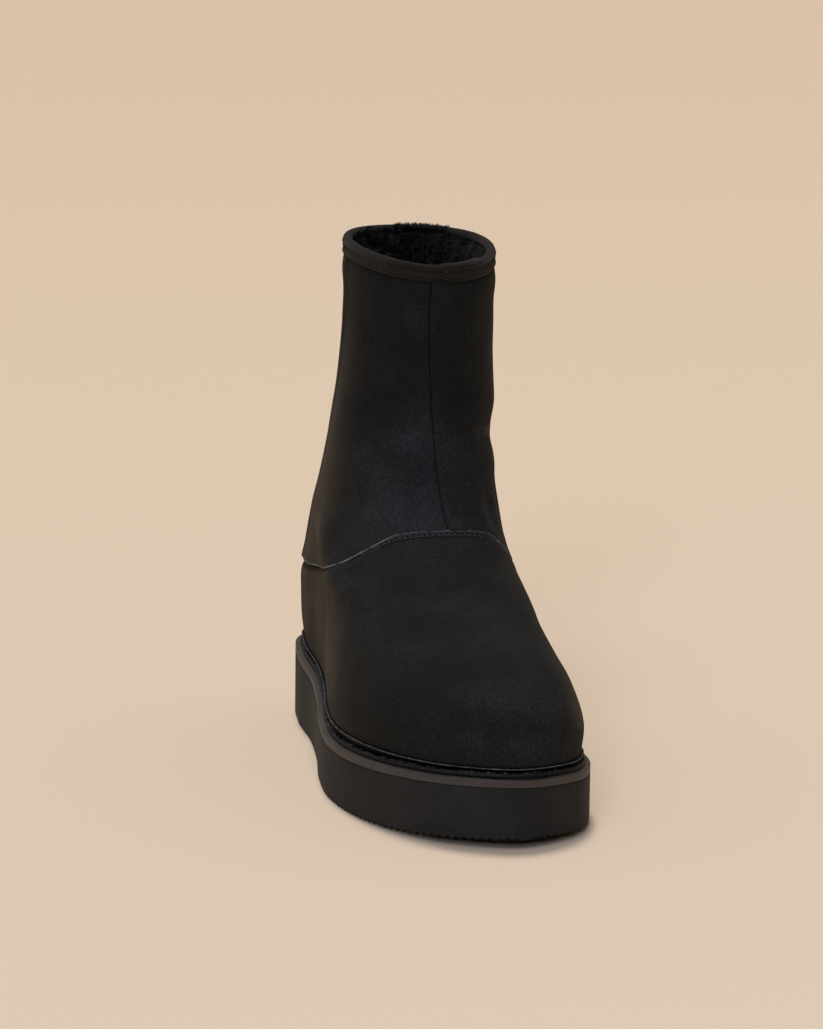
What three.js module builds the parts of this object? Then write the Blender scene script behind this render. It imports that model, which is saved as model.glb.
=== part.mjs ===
// Sheepskin ankle boot for the right foot, on a flat wedge platform.
//
// Millimetres, +Z up. The toe points along -Y and the inner (medial) side of the foot is at +X.
// The boot stands on z = 0, and its origin is the middle of its footprint.
//
// Seven pieces, stacked as they are made: a platform outsole, a thin midsole, a flat welt, a rand
// round the foot of the upper, the hollow upper with its fleece counted in the wall, a tape that
// binds the collar, and a sheepskin insole.

import * as THREE from "three";

// ---------------------------------------------------------------- driving dimensions

const SOLE_LENGTH = 284;
const SOLE_LEDGE = 4.6; // how far the sole stands out from the foot of the upper
const GAP = 0.3; // clearance between neighbouring pieces

const HEEL_RISE = 32.3; // top of the outsole above the floor, at the heel
const BALL_RISE = 21.8; // the same under the ball of the foot
const TOE_RISE = 27.3; // the same at the tip, toe spring counted
const TOE_SPRING = 4.1; // how far the tread lifts off the floor at the tip
const SPRING_START = 0.68; // where the tread leaves the floor, as a share of the length
const TREAD_CHAMFER = 1.2;

const MIDSOLE_THICKNESS = 4.4;
const MIDSOLE_CHAMFER = 0.5;
const WELT_THICKNESS = 1.8;
const WELT_SETBACK = 1.3; // bare midsole left outside the welt
const RAND_THICKNESS = 1.1;

const WALL = 7; // leather and fleece together
const RIM_WALL = 2.2; // the same at the rim, where the tape squeezes the fleece
const TAPE_THICKNESS = 0.8;
const INSOLE_THICKNESS = 7; // board and sheepskin sock
const INSOLE_CLEARANCE = 1; // between the insole and the fleece round it

const AROUND = 64; // points round each ring
const RINGS_PER_ROW = 3; // rings to each row of the upper's table

// ---------------------------------------------------------------- tables

// The sole's edge, a row for each station along its length. at: share of the length from the
// heel; lateral and medial: distances from the boot's axis to the outer and inner side.
const FOOTPRINT = [
  { at: 0, lateral: -3.7, medial: 3.7 },
  { at: 0.045, lateral: 26.7, medial: 26.8 },
  { at: 0.16, lateral: 35.6, medial: 41.1 },
  { at: 0.3, lateral: 38.4, medial: 37.2 },
  { at: 0.43, lateral: 43.8, medial: 35.7 },
  { at: 0.54, lateral: 50.1, medial: 41.3 },
  { at: 0.66, lateral: 53.4, medial: 51.7 },
  { at: 0.78, lateral: 48.8, medial: 52.9 },
  { at: 0.88, lateral: 37.6, medial: 48 },
  { at: 0.955, lateral: 20.9, medial: 35.8 },
  { at: 1, lateral: -7.5, medial: 7.5 },
];

// The upper, a row for each section from its foot to its collar. A section is cut by a plane
// across the boot, from a point on the line of the heel to a point on the line of toe, instep and
// shin. Rises are heights above the top of the welt. heel and ball scale the width behind and in
// front. round is 0 where a section has the plan of the sole, 1 where it is an ellipse.
const SECTIONS = [
  { backY: 137.4, backRise: 0, frontY: -137.4, frontRise: 0, heel: 1, ball: 1, round: 0, shift: 0 },
  { backY: 140.5, backRise: 12, frontY: -141, frontRise: 13, heel: 1.02, ball: 1.03, round: 0, shift: -0.6 },
  { backY: 141, backRise: 25, frontY: -137, frontRise: 27, heel: 0.99, ball: 0.97, round: 0.03, shift: -1.6 },
  { backY: 140.5, backRise: 37, frontY: -123, frontRise: 37, heel: 0.95, ball: 0.9, round: 0.08, shift: -1.9 },
  { backY: 139, backRise: 48, frontY: -103, frontRise: 45, heel: 0.93, ball: 0.89, round: 0.18, shift: -1.4 },
  { backY: 136.5, backRise: 59, frontY: -76, frontRise: 54.5, heel: 0.93, ball: 0.94, round: 0.33, shift: -0.3 },
  { backY: 132.5, backRise: 71, frontY: -44, frontRise: 65, heel: 0.93, ball: 0.975, round: 0.55, shift: 1.4 },
  { backY: 128, backRise: 87, frontY: -22, frontRise: 79.5, heel: 0.92, ball: 0.95, round: 0.78, shift: 5 },
  { backY: 122, backRise: 113, frontY: -3, frontRise: 98, heel: 0.88, ball: 0.91, round: 0.93, shift: 8.5 },
  { backY: 116.5, backRise: 152, frontY: 12, frontRise: 128, heel: 0.855, ball: 0.865, round: 1, shift: 12.6 },
  { backY: 111, backRise: 198, frontY: 13, frontRise: 198, heel: 0.83, ball: 0.83, round: 1, shift: 12.6 },
];
const COLLAR_HALF_WIDTH = 40; // half-width of an ellipse at scale 1
// The rim is raised a little at the sides and dips in front; the rows below it follow.
const COLLAR_WAVE = { back: 1.1, slope: 6.7, bend: -9.3, rows: 2 };
const RIM_ROWS = 1 / 3; // the wall thins over this many rows under the collar
const TAPE_ROWS = { outside: 0.1, inside: 0.08 }; // how far the tape reaches down, in rows

// ---------------------------------------------------------------- curves

const { clamp, lerp, smoothstep } = THREE.MathUtils;

// A table's columns read at a row number that may lie between two rows.
function readTable(rows, row) {
  const last = rows.length - 1;
  const i = Math.min(Math.floor(row), last - 1);
  const f = row - i;
  const [before, from, to, after] = [rows[Math.max(i - 1, 0)], rows[i], rows[i + 1], rows[Math.min(i + 2, last)]];
  const read = (key) => {
    const leave = (to[key] - before[key]) / 2;
    const arrive = (after[key] - from[key]) / 2;
    const rise = to[key] - from[key];
    return from[key] + f * (leave + f * (3 * rise - 2 * leave - arrive + f * (leave + arrive - 2 * rise)));
  };
  return Object.fromEntries(Object.keys(from).map((key) => [key, read(key)]));
}

// A piecewise-linear reading of y at x, where the points' x only grows.
function readLine(points, x) {
  let i = 1;
  while (i < points.length - 1 && points[i].x < x) i++;
  const [a, b] = [points[i - 1], points[i]];
  return b.x > a.x ? lerp(a.y, b.y, clamp((x - a.x) / (b.x - a.x), 0, 1)) : a.y;
}

// Shares of the length at which every ring has its points: closer together at heel and toe.
const STATIONS = Array.from({ length: AROUND / 2 + 1 }, (_, i) => (1 - Math.cos((2 * Math.PI * i) / AROUND)) / 2);

// A ring from a function that gives the point at a share of the length on one side of the boot.
// It runs from the heel along the lateral side to the toe, and back along the medial side.
function ring(point) {
  const lateral = STATIONS.map((s) => point(s, -1));
  const medial = STATIONS.slice(1, -1).map((s) => point(s, 1));
  return [...lateral, ...medial.reverse()];
}

// ---------------------------------------------------------------- the sole's plan and heights

const EDGE_SAMPLES = 1440;
const soleEdge = (() => {
  const along = (row) => SOLE_LENGTH * (0.5 - row.at);
  const lateral = FOOTPRINT.map((row) => new THREE.Vector3(-row.lateral, along(row), 0));
  const medial = FOOTPRINT.slice(1, -1).map((row) => new THREE.Vector3(row.medial, along(row), 0));
  const curve = new THREE.CatmullRomCurve3([...lateral, ...medial.reverse()], true, "centripetal");
  return curve.getPoints(EDGE_SAMPLES).slice(0, -1);
})();

// The sole's plan drawn in by `inset`: its two ends, its centre line and its half-width.
function plan(inset) {
  const n = soleEdge.length;
  const drawn = soleEdge.map((p, i) => {
    const along = soleEdge[(i + 1) % n].clone().sub(soleEdge[(i + n - 1) % n]).normalize();
    return new THREE.Vector3(p.x - inset * along.y, p.y + inset * along.x, 0);
  });
  const tip = drawn.reduce((lowest, p, i) => (p.y < drawn[lowest].y ? i : lowest), 0);
  const [back, front] = [drawn[0].y, drawn[tip].y];
  const side = (points) => points.map((p) => new THREE.Vector2((back - p.y) / (back - front), p.x));
  const lateral = side(drawn.slice(0, tip + 1));
  const medial = side([...drawn.slice(tip), drawn[0]].reverse());
  return {
    back,
    front,
    centre: (s) => (readLine(lateral, s) + readLine(medial, s)) / 2,
    half: (s) => (readLine(medial, s) - readLine(lateral, s)) / 2,
  };
}

const RISES = [
  { at: 0, rise: HEEL_RISE },
  { at: 0.3, rise: lerp(BALL_RISE, HEEL_RISE, 0.62) },
  { at: 0.66, rise: BALL_RISE },
  { at: 1, rise: TOE_RISE },
];
const wedge = new THREE.SplineCurve(RISES.map((row) => new THREE.Vector2(row.at, row.rise))).getPoints(200);
const share = (y) => 0.5 - y / SOLE_LENGTH;
const topOfOutsole = (y) => readLine(wedge, share(y));
const topOfMidsole = (y) => topOfOutsole(y) + GAP + MIDSOLE_THICKNESS;
const topOfWelt = (y) => topOfMidsole(y) + GAP + WELT_THICKNESS;

function tread(y) {
  const lift = Math.max(0, (share(y) - SPRING_START) / (1 - SPRING_START));
  return TOE_SPRING * lift * lift;
}

// ---------------------------------------------------------------- the last

const foot = plan(SOLE_LEDGE);
const LAST_ROW = SECTIONS.length - 1;

// One section of the upper's outside. `row` runs from 0 at its foot to LAST_ROW at the collar.
function section(row) {
  const at = readTable(SECTIONS, row);
  const seats = [topOfWelt(at.backY), topOfWelt(at.frontY)];
  const bend = Math.max(0, 1 - row / 4) ** 2; // how far it still follows the bent top of the sole
  const waved = smoothstep(row, LAST_ROW - COLLAR_WAVE.rows, LAST_ROW);
  return ring((s, side) => {
    const y = lerp(at.backY, at.frontY, s);
    const plane = GAP + lerp(seats[0] + at.backRise, seats[1] + at.frontRise, s);
    const wave = COLLAR_WAVE.back + s * (COLLAR_WAVE.slope + s * COLLAR_WAVE.bend);
    const z = plane + bend * (topOfWelt(y) - lerp(seats[0], seats[1], s)) + waved * wave;
    const ellipse = COLLAR_HALF_WIDTH * 2 * Math.sqrt(Math.max(0, s * (1 - s)));
    const half = lerp(foot.half(s), ellipse, at.round) * lerp(at.heel, at.ball, smoothstep(s, 0.25, 0.7));
    return new THREE.Vector3(side * half + foot.centre(s) * (1 - at.round) + at.shift, y, z);
  });
}

// A section moved out of the upper's surface by `distance`, and then up by `lift`.
function shell(row, distance, lift = 0) {
  const step = 0.02;
  const level = row === 0 || row === LAST_ROW;
  const [below, here, above] = [Math.max(row - step, 0), row, Math.min(row + step, LAST_ROW)].map(section);
  const n = here.length;
  return here.map((p, i) => {
    const around = here[(i + 1) % n].clone().sub(here[(i + n - 1) % n]);
    const rise = level ? new THREE.Vector3(0, 0, 1) : above[i].clone().sub(below[i]);
    const outward = around.cross(rise).normalize();
    return p.clone().addScaledVector(outward, distance).add(new THREE.Vector3(0, 0, lift));
  });
}

const wallAt = (row) => lerp(WALL, RIM_WALL, clamp((row - (LAST_ROW - RIM_ROWS)) / RIM_ROWS, 0, 1));

// ---------------------------------------------------------------- skins

function mesh(rings, faces) {
  const geometry = new THREE.BufferGeometry();
  const positions = rings.flat().flatMap((p) => [p.x, p.y, p.z]);
  geometry.setAttribute("position", new THREE.Float32BufferAttribute(positions, 3));
  geometry.setIndex(faces);
  geometry.computeVertexNormals();
  return geometry;
}

// The faces between each ring and the next. The rings are given so that the solid is inside them.
function wallFaces(rings, spans) {
  const n = AROUND;
  const faces = [];
  for (let r = 0; r < spans; r++) {
    const low = r * n;
    const high = ((r + 1) % rings.length) * n;
    for (let i = 0; i < n; i++) {
      const j = (i + 1) % n;
      faces.push(low + i, low + j, high + j, low + i, high + j, high + i);
    }
  }
  return faces;
}

// A hoop: its last ring joins its first.
function hoop(rings) {
  return mesh(rings, wallFaces(rings, rings.length));
}

// A slab: its first and last rings are closed by strips that run across the boot.
function slab(rings) {
  const n = AROUND;
  const faces = wallFaces(rings, rings.length - 1);
  const close = (base, up) => {
    for (let i = 0; i < n / 2; i++) {
      const [a, b, c, d] = [i, i + 1, n - 1 - i, (n - i) % n].map((k) => base + k);
      const strip = [];
      if (b !== c) strip.push([a, b, c]);
      if (a !== d) strip.push([a, c, d]);
      for (const [p, q, r] of strip) faces.push(...(up ? [p, q, r] : [p, r, q]));
    }
  };
  close(0, false);
  close((rings.length - 1) * n, true);
  return mesh(rings, faces);
}

// A ring of the sole's plan, drawn in by `inset`, at a height that depends on the place along it.
function soleRing(inset, height) {
  const drawn = plan(inset);
  return ring((s, side) => {
    const y = lerp(drawn.back, drawn.front, s);
    return new THREE.Vector3(drawn.centre(s) + side * drawn.half(s), y, height(y));
  });
}

// ---------------------------------------------------------------- the pieces

const outsole = slab([
  soleRing(TREAD_CHAMFER, tread),
  soleRing(0, (y) => tread(y) + TREAD_CHAMFER),
  soleRing(0, topOfOutsole),
]);

const midsole = slab([
  soleRing(0, (y) => topOfOutsole(y) + GAP),
  soleRing(0, (y) => topOfMidsole(y) - MIDSOLE_CHAMFER),
  soleRing(MIDSOLE_CHAMFER, topOfMidsole),
]);

// The welt is a flat strip on the midsole, from just inside its edge to the inside of the wall.
const onMidsole = (y) => topOfMidsole(y) + GAP;
const welt = hoop([
  soleRing(WELT_SETBACK, onMidsole),
  soleRing(WELT_SETBACK, topOfWelt),
  soleRing(SOLE_LEDGE + WALL, topOfWelt),
  soleRing(SOLE_LEDGE + WALL, onMidsole),
]);

// The insole fills the well inside the welt and the foot of the upper.
const insoleInset = SOLE_LEDGE + WALL + INSOLE_CLEARANCE;
const insole = slab([
  soleRing(insoleInset, onMidsole),
  soleRing(insoleInset, (y) => onMidsole(y) + INSOLE_THICKNESS),
]);

// The rand hugs the lowest band of the upper.
const RAND_ROW = 0.17;
const rand = hoop([
  shell(0, GAP + RAND_THICKNESS),
  shell(RAND_ROW, GAP + RAND_THICKNESS),
  shell(RAND_ROW, GAP),
  shell(0, GAP),
]);

// The upper's wall: up its outside, over the rim and down its inside.
const rows = Array.from({ length: LAST_ROW * RINGS_PER_ROW + 1 }, (_, r) => r / RINGS_PER_ROW);
const upper = hoop([
  ...rows.map((row) => shell(row, 0)),
  ...rows.map((row) => shell(row, -wallAt(row))).reverse(),
]);

// The tape is folded over the rim, with one leaf outside and one inside.
const outerRow = LAST_ROW - TAPE_ROWS.outside;
const innerRow = LAST_ROW - TAPE_ROWS.inside;
const inner = wallAt(innerRow) + GAP;
const collarBinding = hoop([
  shell(outerRow, GAP + TAPE_THICKNESS),
  shell(LAST_ROW, GAP + TAPE_THICKNESS, 0.3 * TAPE_THICKNESS),
  shell(LAST_ROW, 0, GAP + TAPE_THICKNESS),
  shell(LAST_ROW, -RIM_WALL, GAP + TAPE_THICKNESS),
  shell(LAST_ROW, -(RIM_WALL + GAP + TAPE_THICKNESS), 0.3 * TAPE_THICKNESS),
  shell(innerRow, -(inner + TAPE_THICKNESS)),
  shell(innerRow, -inner),
  shell(LAST_ROW, -(RIM_WALL + GAP), GAP),
  shell(LAST_ROW, GAP, GAP),
  shell(outerRow, GAP),
]);

// ---------------------------------------------------------------- assembly

const PIECES = [
  { name: "outsole", geometry: outsole, color: 0x262423, roughness: 0.85 },
  { name: "midsole", geometry: midsole, color: 0x5a4c45, roughness: 0.75 },
  { name: "welt", geometry: welt, color: 0x100f0f, roughness: 0.5 },
  { name: "insole", geometry: insole, color: 0x1a1a1b, roughness: 1 },
  { name: "rand", geometry: rand, color: 0x0c0c0c, roughness: 0.35 },
  { name: "upper", geometry: upper, color: 0x232426, roughness: 0.95 },
  { name: "collar_binding", geometry: collarBinding, color: 0x1b1917, roughness: 0.8 },
];

const boot = new THREE.Group();
for (const { name, geometry, color, roughness } of PIECES) {
  const piece = new THREE.Mesh(geometry, new THREE.MeshStandardMaterial({ color, roughness, metalness: 0 }));
  piece.name = name;
  boot.add(piece);
}

export default boot;
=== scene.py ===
import math
import random

import bpy
import numpy as np
from mathutils import Matrix, Vector, noise


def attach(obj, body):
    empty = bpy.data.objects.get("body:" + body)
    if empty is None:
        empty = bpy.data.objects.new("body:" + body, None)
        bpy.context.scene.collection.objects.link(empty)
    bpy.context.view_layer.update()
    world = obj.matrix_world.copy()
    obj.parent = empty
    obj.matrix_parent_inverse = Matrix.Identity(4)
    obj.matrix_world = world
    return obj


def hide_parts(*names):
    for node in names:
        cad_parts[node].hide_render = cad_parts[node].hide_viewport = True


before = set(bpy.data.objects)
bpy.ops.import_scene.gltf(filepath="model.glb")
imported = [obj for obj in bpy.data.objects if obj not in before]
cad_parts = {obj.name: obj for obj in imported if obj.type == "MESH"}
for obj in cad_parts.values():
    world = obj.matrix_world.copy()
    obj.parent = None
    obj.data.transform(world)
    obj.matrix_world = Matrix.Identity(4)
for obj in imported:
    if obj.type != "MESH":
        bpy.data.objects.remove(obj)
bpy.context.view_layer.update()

random.seed(7)

# ---------------- outsole
# The platform: one moulded block of black foam rubber, thicker under the heel. Its tread is a fine
# saw-tooth that shows as notches along the lower edge. It is cemented under the midsole.

MM = 0.001
GAP = 0.3  # clearance between neighbouring pieces, in millimetres like every size below
SOLE_LENGTH = 284
HEEL_RISE = 32.3
BALL_RISE = 21.8
BALL_AT = 0.66  # places along the sole are shares of its length from the heel
TOE_RISE = 26.9
INNER_DROP = 0.026  # how much lower the platform's top lies for each millimetre toward the inner side
TOE_SPRING = 4.1
SPRING_START = 0.68
NOTCH_PITCH = 3.8
NOTCH_DEPTH = 1.1
NOTCH_POINTS = 6
TREAD_HEIGHT = 2.6
RIB_PITCH = 5.2
RIB_DEPTH = 1.3

# The sole's edge, a row for each station. at: share of the length from the heel; lateral and
# medial: distances from the boot's axis to the outer and inner side.
FOOTPRINT = [
    {"at": 0, "lateral": -3.7, "medial": 3.7},
    {"at": 0.045, "lateral": 26.7, "medial": 26.8},
    {"at": 0.16, "lateral": 35.6, "medial": 41.1},
    {"at": 0.3, "lateral": 38.4, "medial": 37.2},
    {"at": 0.43, "lateral": 43.8, "medial": 35.7},
    {"at": 0.54, "lateral": 50.1, "medial": 41.3},
    {"at": 0.66, "lateral": 53.4, "medial": 51.7},
    {"at": 0.78, "lateral": 48.8, "medial": 52.9},
    {"at": 0.88, "lateral": 37.6, "medial": 48},
    {"at": 0.955, "lateral": 20.9, "medial": 35.8},
    {"at": 1, "lateral": -7.5, "medial": 7.5},
]


def through_points(table, place):
    """A smooth reading of a table's rows at places that may lie between two rows."""
    table = np.asarray(table, float)
    place = np.asarray(place, float)
    last = len(table) - 1
    i = np.clip(np.floor(place).astype(int), 0, last - 1)
    f = (place - i)[..., None]
    before, start = table[np.maximum(i - 1, 0)], table[i]
    end, after = table[i + 1], table[np.minimum(i + 2, last)]
    leave, arrive, rise = (end - before) / 2, (after - start) / 2, end - start
    return start + f * (leave + f * (3 * rise - 2 * leave - arrive + f * (leave + arrive - 2 * rise)))


def closed_curve(points, count):
    """A closed curve through points whose bends are shared out by the root of their spacing."""
    points = np.asarray(points, float)
    n = len(points)
    at = np.arange(count) * n / count
    i = at.astype(int)
    f = (at - i)[:, None]
    a, b, c, d = (points[(i + k) % n] for k in (-1, 0, 1, 2))
    steps = (a, b), (b, c), (c, d)
    ab, bc, cd = (np.linalg.norm(q - p, axis=1)[:, None] ** 0.5 + 1e-9 for p, q in steps)
    leave = ((b - a) / ab - (c - a) / (ab + bc) + (c - b) / bc) * bc
    arrive = ((c - b) / bc - (d - b) / (bc + cd) + (d - c) / cd) * bc
    rise = c - b
    return b + f * (leave + f * (3 * rise - 2 * leave - arrive + f * (leave + arrive - 2 * rise)))


def sole_y(at):
    return SOLE_LENGTH * (0.5 - at)


SOLE_EDGE = closed_curve(
    [(-row["lateral"], sole_y(row["at"])) for row in FOOTPRINT]
    + [(row["medial"], sole_y(row["at"])) for row in FOOTPRINT[-2:0:-1]],
    7200,
)
WAIST_RISE = BALL_RISE + 0.62 * (HEEL_RISE - BALL_RISE)
WEDGE = through_points(
    [(0, HEEL_RISE), (0.3, WAIST_RISE), (BALL_AT, BALL_RISE), (1, TOE_RISE)], np.linspace(0, 3, 201)
)


def outsole_top(y):
    return np.interp(0.5 - y / SOLE_LENGTH, WEDGE[:, 0], WEDGE[:, 1])


def tread_lift(y):
    lift = np.maximum(0, (0.5 - y / SOLE_LENGTH - SPRING_START) / (1 - SPRING_START))
    return TOE_SPRING * lift**2


def sole_plan(inset):
    """The sole's plan drawn in by inset: its two ends, and its centre line and half-width by share."""
    along = np.roll(SOLE_EDGE, -1, 0) - np.roll(SOLE_EDGE, 1, 0)
    along /= np.linalg.norm(along, axis=1)[:, None]
    edge = SOLE_EDGE + inset * np.c_[-along[:, 1], along[:, 0]]
    tip = edge[:, 1].argmin()
    back, front = edge[0, 1], edge[tip, 1]
    share = np.linspace(0, 1, 4001)
    sides = edge[: tip + 1], np.r_[edge[tip:], edge[:1]][::-1]
    lateral, medial = (np.interp(share, (back - p[:, 1]) / (back - front), p[:, 0]) for p in sides)
    return back, front, share, (lateral + medial) / 2, (medial - lateral) / 2


def sole_point(around, plan, width=1.0):
    """x and y on the sole's plan. around runs from 0 at the heel by the lateral side to 1."""
    back, front, share, centre, half = plan
    s = (1 - np.cos(2 * np.pi * around)) / 2
    side = np.where(around % 1 < 0.5, -1, 1)
    x = np.interp(s, share, centre) + width * side * np.interp(s, share, half)
    return x, back + (front - back) * s


def even_around(count, plan):
    """Places evenly spaced along the sole's edge, with the last one on the first, and its length."""
    fine = np.linspace(0, 1, 8001)
    x, y = sole_point(fine, plan)
    run = np.r_[0, np.cumsum(np.hypot(np.diff(x), np.diff(y)))]
    return np.interp(np.linspace(0, run[-1], count + 1), run, fine), run[-1]


def eased(share):
    """A share of 0 to 1 that starts and ends gently."""
    return share**2 * (3 - 2 * share)


def settled(points):
    """Points with the platform and the foot on it settled a little toward the inner side in front."""
    points = np.array(points, float)
    x, y, z = points[..., 0], points[..., 1], points[..., 2]
    forward = np.clip((0.5 - y / SOLE_LENGTH) / BALL_AT, 0, 1)
    above = np.clip((z - 45) / 35, 0, 1)
    points[..., 2] -= INNER_DROP * x * forward * np.clip(z / 20, 0, 1) * (1 - eased(above))
    return points


def laid_grid(name, points):
    """A grid primitive with its points moved to points[row, column] and its UV map in millimetres.

    Where its edges meet, they are merged."""
    points = settled(points)
    rows, columns = points.shape[:2]
    bpy.ops.object.select_all(action="DESELECT")
    bpy.ops.mesh.primitive_grid_add(
        x_subdivisions=columns - 1, y_subdivisions=rows - 1, size=2, calc_uvs=True
    )
    piece = bpy.context.object
    piece.name = piece.data.name = name
    flat = np.empty(rows * columns * 3)
    piece.data.vertices.foreach_get("co", flat)
    flat = flat.reshape(-1, 3)
    column = np.rint((flat[:, 0] + 1) / 2 * (columns - 1)).astype(int)
    row = np.rint((flat[:, 1] + 1) / 2 * (rows - 1)).astype(int)
    piece.data.vertices.foreach_set("co", (points[row, column] * MM).ravel())
    uv = np.empty(len(piece.data.loops) * 2)
    piece.data.uv_layers[0].data.foreach_get("uv", uv)
    uv = uv.reshape(-1, 2)
    for axis, line in ((0, points[rows // 4]), (1, points[:, columns // 3])):
        run = np.r_[0, np.cumsum(np.linalg.norm(np.diff(line, axis=0), axis=1))]
        uv[:, axis] = np.interp(uv[:, axis] * (len(line) - 1), np.arange(len(line)), run)
    piece.data.uv_layers[0].data.foreach_set("uv", uv.ravel())
    bpy.ops.object.mode_set(mode="EDIT")
    bpy.ops.mesh.select_all(action="SELECT")
    bpy.ops.mesh.remove_doubles(threshold=2e-6)
    bpy.ops.object.mode_set(mode="OBJECT")
    bpy.ops.object.shade_smooth()
    return piece


def fitted(piece, material, node_name, replaces=False):
    """Gives a piece its material and puts it on the boot's one body; if it replaces the part node_name,
    that part is hidden.
    """
    piece.data.materials.clear()
    piece.data.materials.append(material)
    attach(piece, "root")
    if replaces:
        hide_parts(node_name)


def linear(code):
    """A colour given as an sRGB hex code, in linear light."""
    parts = [int(code[i : i + 2], 16) / 255 for i in (1, 3, 5)]
    return tuple(c / 12.92 if c <= 0.04045 else ((c + 0.055) / 1.055) ** 2.4 for c in parts) + (1,)


def add_node(tree, kind, settings=None, inputs=None, into=None):
    """Adds a shader node with its settings, and its inputs as values or as sockets to link from.

    A node among the inputs stands for its first output. into is the socket this one's goes to."""
    made = tree.nodes.new("ShaderNode" + kind)
    for key, value in (settings or {}).items():
        if key == "ramp":
            stops = made.color_ramp.elements
            while len(stops) < len(value):
                stops.new(0.5)
            for stop, (position, code) in zip(stops, value):
                stop.position, stop.color = position, linear(code)
        else:
            setattr(made, key, value)
    for key, value in (inputs or {}).items():
        if isinstance(value, bpy.types.Node):
            value = value.outputs[0]
        if isinstance(value, bpy.types.NodeSocket):
            tree.links.new(value, made.inputs[key])
        else:
            made.inputs[key].default_value = value
    if into:
        tree.links.new(made.outputs[0], into)
    return made


def new_material(name, **shader_values):
    """A material with its shader's own values set, and its node tree and shader inputs to link to."""
    material = bpy.data.materials.new(name)
    material.use_nodes = True
    surface = material.node_tree.nodes["Principled BSDF"].inputs
    for key, value in shader_values.items():
        surface[key.replace("_", " ")].default_value = value
    return material, material.node_tree, surface


# Closed-cell foam rubber, moulded and lightly buffed: matt, nearly black, with a fine pore and
# faint grey rubs. A noise's scale is its marks in a metre: clouds of 17 mm, pores of 0.7 mm.
foam_rubber, tree, surface = new_material("moulded_foam_rubber", Roughness=0.78, Specular_IOR_Level=0.35)
place = add_node(tree, "TexCoord").outputs["Object"]
cloud = add_node(tree, "TexNoise", inputs={"Vector": place, "Scale": 60, "Detail": 5, "Roughness": 0.6})
pores = add_node(tree, "TexNoise", inputs={"Vector": place, "Scale": 1500, "Detail": 3, "Roughness": 0.7})
shades = [(0.35, "#161718"), (0.7, "#212223")]
add_node(tree, "ValToRGB", {"ramp": shades}, {"Fac": cloud}, surface["Base Color"])
skin = {"Height": pores, "Strength": 0.5, "Distance": 0.00012}
add_node(tree, "Bump", inputs=skin, into=surface["Normal"])

notches = round(even_around(8, sole_plan(0))[1] / NOTCH_PITCH)
around, _ = even_around(notches * NOTCH_POINTS, sole_plan(0))
# 1 in the cut, 0 on the round of a tooth
notch = 1 - np.abs(np.sin(np.pi * np.arange(len(around)) / NOTCH_POINTS))

outsole_rows = []
for width in np.r_[0:0.82:38j, 0.84:0.88:3j]:
    x, y = sole_point(around, sole_plan(0), width)
    ribs = 0.5 - 0.5 * np.cos(2 * np.pi * (y + 0.35 * np.abs(x)) / RIB_PITCH)
    fade = np.clip((0.86 - width) / 0.04, 0, 1)
    z = tread_lift(y) + RIB_DEPTH * fade * np.clip(1.6 * ribs - 0.5, 0, 1)
    outsole_rows.append(np.stack([x, y, z], -1))
for drawn_in, rise, notched in (
    (4.2, 0, 0),
    (3.2, 0.05, 0.9),
    (0.5, 0.1, 1),
    (0.1, 0.35, 1),
    (0, 0.9, 0.8),
    (0, TREAD_HEIGHT, 0),
):
    x, y = sole_point(around, sole_plan(drawn_in))
    outsole_rows.append(np.stack([x, y, tread_lift(y) + rise + NOTCH_DEPTH * notched * notch], -1))
for share in (0.2, 0.45, 0.7, 0.9):
    x, y = sole_point(around, sole_plan(0))
    low, high = tread_lift(y) + TREAD_HEIGHT, outsole_top(y) - 0.5
    outsole_rows.append(np.stack([x, y, low + (high - low) * share], -1))
for drawn_in, drop in ((0, 0.5), (0.12, 0.18), (0.45, 0.0)):
    x, y = sole_point(around, sole_plan(drawn_in))
    outsole_rows.append(np.stack([x, y, outsole_top(y) - drop], -1))
for width in (0.9, 0.5, 0):
    x, y = sole_point(around, sole_plan(0), width)
    outsole_rows.append(np.stack([x, y, outsole_top(y)], -1))
outsole = laid_grid("outsole_block", outsole_rows)
fitted(outsole, foam_rubber, "outsole", replaces=True)

# ---------------- midsole
# A thin layer of smooth taupe foam between the platform and the welt. It is cut flush with the
# platform, and its upper edge is buffed round.

MIDSOLE_THICKNESS = 3.4
MIDSOLE_ROUND = 0.6

# Buffed EVA: a plain, slightly satin brown-grey with faint scuffs.
taupe_foam, tree, surface = new_material("buffed_taupe_foam", Specular_IOR_Level=0.4)
place = add_node(tree, "TexCoord").outputs["Object"]
cloud = add_node(tree, "TexNoise", inputs={"Vector": place, "Scale": 90, "Detail": 5, "Roughness": 0.6})
shades = [(0.3, "#383331"), (0.75, "#484341")]
add_node(tree, "ValToRGB", {"ramp": shades}, {"Fac": cloud}, surface["Base Color"])
rough = {"Value": cloud, "To Min": 0.5, "To Max": 0.68}
add_node(tree, "MapRange", inputs=rough, into=surface["Roughness"])
grain = add_node(tree, "TexNoise", inputs={"Vector": place, "Scale": 1400, "Detail": 2})
skin = {"Height": grain, "Strength": 0.3, "Distance": 0.00008}
add_node(tree, "Bump", inputs=skin, into=surface["Normal"])


def midsole_top(y):
    return outsole_top(y) + GAP + MIDSOLE_THICKNESS


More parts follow.
